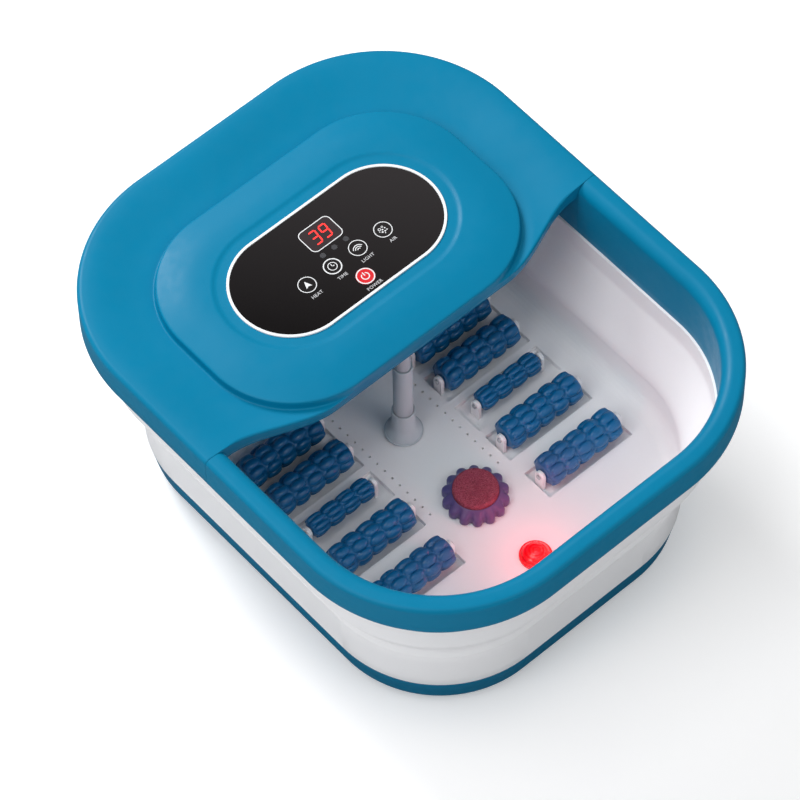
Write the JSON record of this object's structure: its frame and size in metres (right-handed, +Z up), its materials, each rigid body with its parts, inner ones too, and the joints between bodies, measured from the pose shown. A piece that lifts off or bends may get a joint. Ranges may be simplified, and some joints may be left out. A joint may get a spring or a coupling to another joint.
{
  "type": "pedicure foot bath",
  "caption": "Folding foot bath: rounded rectangular tub with a soft folding wall, rear cover with control panel, massage rollers, massage head and red lamp on the floor.",
  "frame": {"origin": "on the floor, under the centre of the tub", "axes": "+Z up, +Y towards the rear cover, +X to the user's right when seated in front"},
  "size_m": [0.356, 0.43, 0.2003],
  "materials": {
    "shell_blue": "satin moulded polypropylene, fine spark-eroded grain",
    "base_blue": "satin moulded polypropylene",
    "wall_white": "smooth white moulding",
    "membrane_white": "matt white thermoplastic elastomer",
    "rubber_black": "matt",
    "steel": "bright",
    "aluminium": "mill finish",
    "ceramic": "matt ceramic in foil",
    "black_plastic": "matt",
    "clear_rubber": "translucent silicone",
    "light_grey": "light grey moulding",
    "board_green": "solder-masked laminate",
    "lens_red": "translucent red lens",
    "wire_red": "insulated wire",
    "cord_white": "white mains flex",
    "trim_white": "gloss white trim",
    "panel_black": "gloss black film",
    "window_grey": "tinted window",
    "led_grey": "diffused light guide",
    "key_red": "gloss red key",
    "roller_blue": "gloss dark blue moulding",
    "pumice": "coarse sintered abrasive"
  },
  "bodies": {
    "base": {"bottom_shell": "base_blue", "lower_tub": "wall_white", "wall_membrane": "membrane_white", "rubber_feet": "rubber_black", "base_screws": "steel", "heater_plate": "aluminium", "heating_element": "ceramic", "thermal_cutout": "black_plastic", "temp_sensor": "steel", "air_pump": "black_plastic", "pump_mounts": "rubber_black", "air_hose": "clear_rubber", "air_manifold": "light_grey", "power_board": "board_green", "board_components": "black_plastic", "board_screws": "steel", "red_lens": "lens_red", "led_board": "board_green", "roller_axles": "steel", "conduit_lower": "light_grey", "conduit_seal": "rubber_black", "lead_wires": "wire_red", "strain_relief": "rubber_black", "power_cord": "cord_white", "cord_tie": "rubber_black", "mains_plug": "cord_white", "plug_pins": "steel"},
    "rim": {"rim_frame": "shell_blue", "upper_wall": "wall_white", "rear_cover": "shell_blue", "cover_underside": "shell_blue", "cover_seal": "rubber_black", "cover_screws": "steel", "panel_bezel": "trim_white", "control_panel": "panel_black", "display_window": "window_grey", "display_module": "black_plastic", "control_board": "board_green", "tact_switches": "black_plastic", "indicator_leds": "led_grey", "conduit_upper": "light_grey"},
    "conduit_mid": {"conduit_middle": "light_grey"},
    "key_temp": {"key_temp": "panel_black"},
    "key_timer": {"key_timer": "panel_black"},
    "key_light": {"key_light": "panel_black"},
    "key_bubble": {"key_bubble": "panel_black"},
    "key_power": {"key_power": "key_red"},
    "roller_l1": {"roller_l1": "roller_blue"},
    "roller_l2": {"roller_l2": "roller_blue"},
    "roller_l3": {"roller_l3": "roller_blue"},
    "roller_l4": {"roller_l4": "roller_blue"},
    "roller_l5": {"roller_l5": "roller_blue"},
    "roller_r1": {"roller_r1": "roller_blue"},
    "roller_r2": {"roller_r2": "roller_blue"},
    "roller_r3": {"roller_r3": "roller_blue"},
    "roller_r4": {"roller_r4": "roller_blue"},
    "roller_r5": {"roller_r5": "roller_blue"},
    "massage_head": {"head_base": "roller_blue", "pumice_pad": "pumice"}
  },
  "joints": [
    {"name": "collapse", "type": "slide", "parent": "base", "child": "rim", "axis": [0, 0, -1], "range_m": [0, 0.1], "deforming": ["wall_membrane"]},
    {"name": "conduit_slide", "type": "slide", "parent": "base", "child": "conduit_mid", "axis": [0, 0, -1], "range_m": [0, 0.05]},
    {"name": "press_temp", "type": "slide", "parent": "rim", "child": "key_temp", "axis": [0, 0, -1], "range_m": [0, 0.0005], "stiffness_N_per_m": 3000},
    {"name": "press_timer", "type": "slide", "parent": "rim", "child": "key_timer", "axis": [0, 0, -1], "range_m": [0, 0.0005], "stiffness_N_per_m": 3000},
    {"name": "press_light", "type": "slide", "parent": "rim", "child": "key_light", "axis": [0, 0, -1], "range_m": [0, 0.0005], "stiffness_N_per_m": 3000},
    {"name": "press_bubble", "type": "slide", "parent": "rim", "child": "key_bubble", "axis": [0, 0, -1], "range_m": [0, 0.0005], "stiffness_N_per_m": 3000},
    {"name": "press_power", "type": "slide", "parent": "rim", "child": "key_power", "axis": [0, 0, -1], "range_m": [0, 0.0005], "stiffness_N_per_m": 3000},
    {"name": "spin_l1", "type": "hinge", "parent": "base", "child": "roller_l1", "pos_m": [-0.079, -0.0885, 0.0555], "axis": [1, 0, 0], "continuous": true},
    {"name": "spin_l2", "type": "hinge", "parent": "base", "child": "roller_l2", "pos_m": [-0.079, -0.0474, 0.0555], "axis": [1, 0, 0], "continuous": true},
    {"name": "spin_l3", "type": "hinge", "parent": "base", "child": "roller_l3", "pos_m": [-0.079, -0.0144, 0.0555], "axis": [1, 0, 0], "continuous": true},
    {"name": "spin_l4", "type": "hinge", "parent": "base", "child": "roller_l4", "pos_m": [-0.079, 0.0185, 0.0555], "axis": [1, 0, 0], "continuous": true},
    {"name": "spin_l5", "type": "hinge", "parent": "base", "child": "roller_l5", "pos_m": [-0.079, 0.0494, 0.0555], "axis": [1, 0, 0], "continuous": true},
    {"name": "spin_r1", "type": "hinge", "parent": "base", "child": "roller_r1", "pos_m": [0.079, -0.0885, 0.0555], "axis": [1, 0, 0], "continuous": true},
    {"name": "spin_r2", "type": "hinge", "parent": "base", "child": "roller_r2", "pos_m": [0.079, -0.0474, 0.0555], "axis": [1, 0, 0], "continuous": true},
    {"name": "spin_r3", "type": "hinge", "parent": "base", "child": "roller_r3", "pos_m": [0.079, -0.0144, 0.0555], "axis": [1, 0, 0], "continuous": true},
    {"name": "spin_r4", "type": "hinge", "parent": "base", "child": "roller_r4", "pos_m": [0.079, 0.0185, 0.0555], "axis": [1, 0, 0], "continuous": true},
    {"name": "spin_r5", "type": "hinge", "parent": "base", "child": "roller_r5", "pos_m": [0.079, 0.0494, 0.0555], "axis": [1, 0, 0], "continuous": true},
    {"name": "head_lift", "type": "slide", "parent": "base", "child": "massage_head", "axis": [0, 0, 1], "range_m": [0, 0.03]}
  ],
  "couplings": [
    {"joint": "conduit_slide", "follows": "collapse", "ratio": 0.5}
  ]
}
